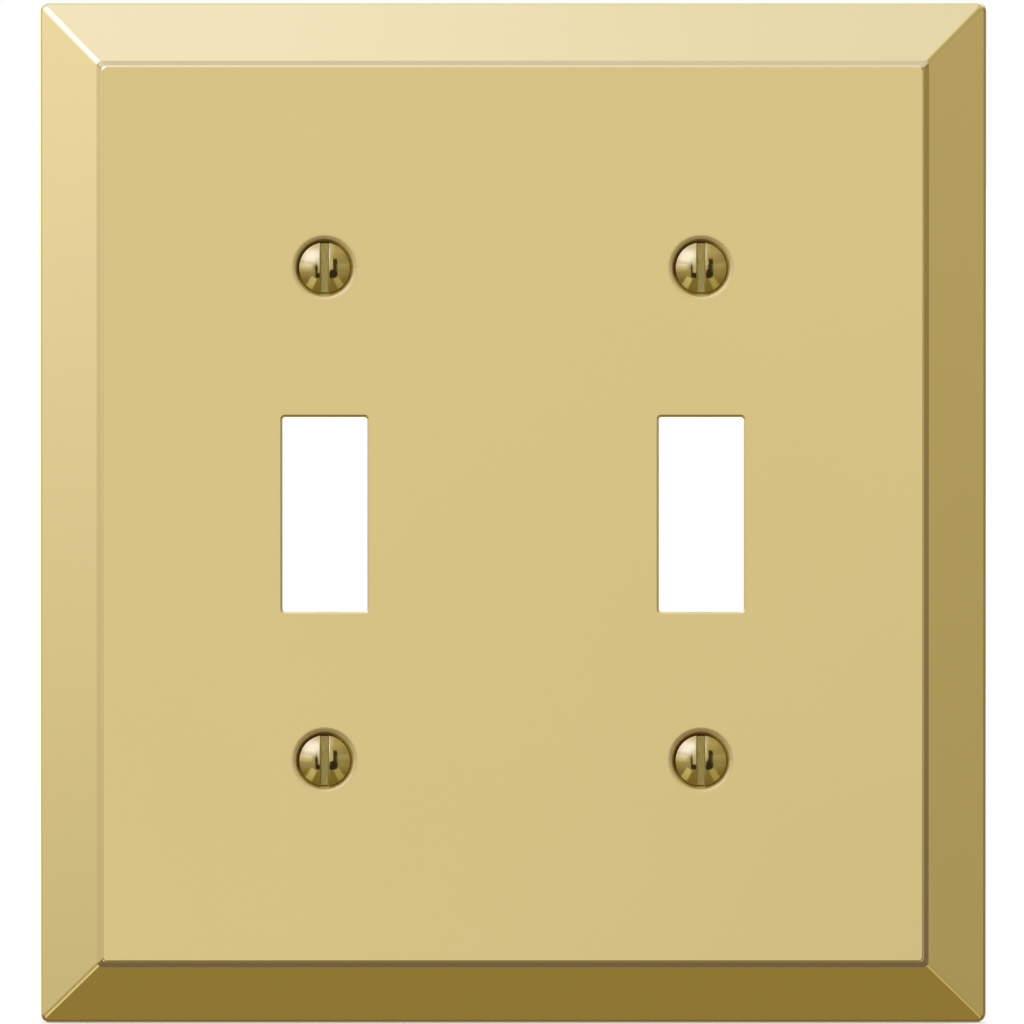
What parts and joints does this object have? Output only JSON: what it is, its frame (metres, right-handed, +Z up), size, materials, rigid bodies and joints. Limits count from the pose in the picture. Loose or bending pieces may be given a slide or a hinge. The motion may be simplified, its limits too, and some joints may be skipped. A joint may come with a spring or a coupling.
{
  "type": "toggle switch wall plate",
  "caption": "Bevelled rectangular brass wall plate with side-by-side toggle openings, held over light switches by slotted oval-head screws.",
  "frame": {"origin": "centre of the plate's back, on the plane of the wall", "axes": "+Z up the wall, +X to the right of someone facing the plate, -Y out of the wall towards that person"},
  "size_m": [0.1158, 0.0138, 0.1252],
  "materials": {
    "plate_brass": "polished and lacquered",
    "screw_brass": "polished"
  },
  "bodies": {
    "plate": {"wall_plate": "plate_brass"},
    "screw_upper_left": {"screw_upper_left": "screw_brass"},
    "screw_upper_right": {"screw_upper_right": "screw_brass"},
    "screw_lower_left": {"screw_lower_left": "screw_brass"},
    "screw_lower_right": {"screw_lower_right": "screw_brass"}
  },
  "joints": [
    {"name": "screw_upper_left_turn", "type": "hinge", "parent": "plate", "child": "screw_upper_left", "pos_m": [-0.02302, 0, 0.03016], "axis": [0, 1, 0], "continuous": true},
    {"name": "screw_upper_right_turn", "type": "hinge", "parent": "plate", "child": "screw_upper_right", "pos_m": [0.02302, 0, 0.03016], "axis": [0, 1, 0], "continuous": true},
    {"name": "screw_lower_left_turn", "type": "hinge", "parent": "plate", "child": "screw_lower_left", "pos_m": [-0.02302, 0, -0.03016], "axis": [0, 1, 0], "continuous": true},
    {"name": "screw_lower_right_turn", "type": "hinge", "parent": "plate", "child": "screw_lower_right", "pos_m": [0.02302, 0, -0.03016], "axis": [0, 1, 0], "continuous": true}
  ]
}
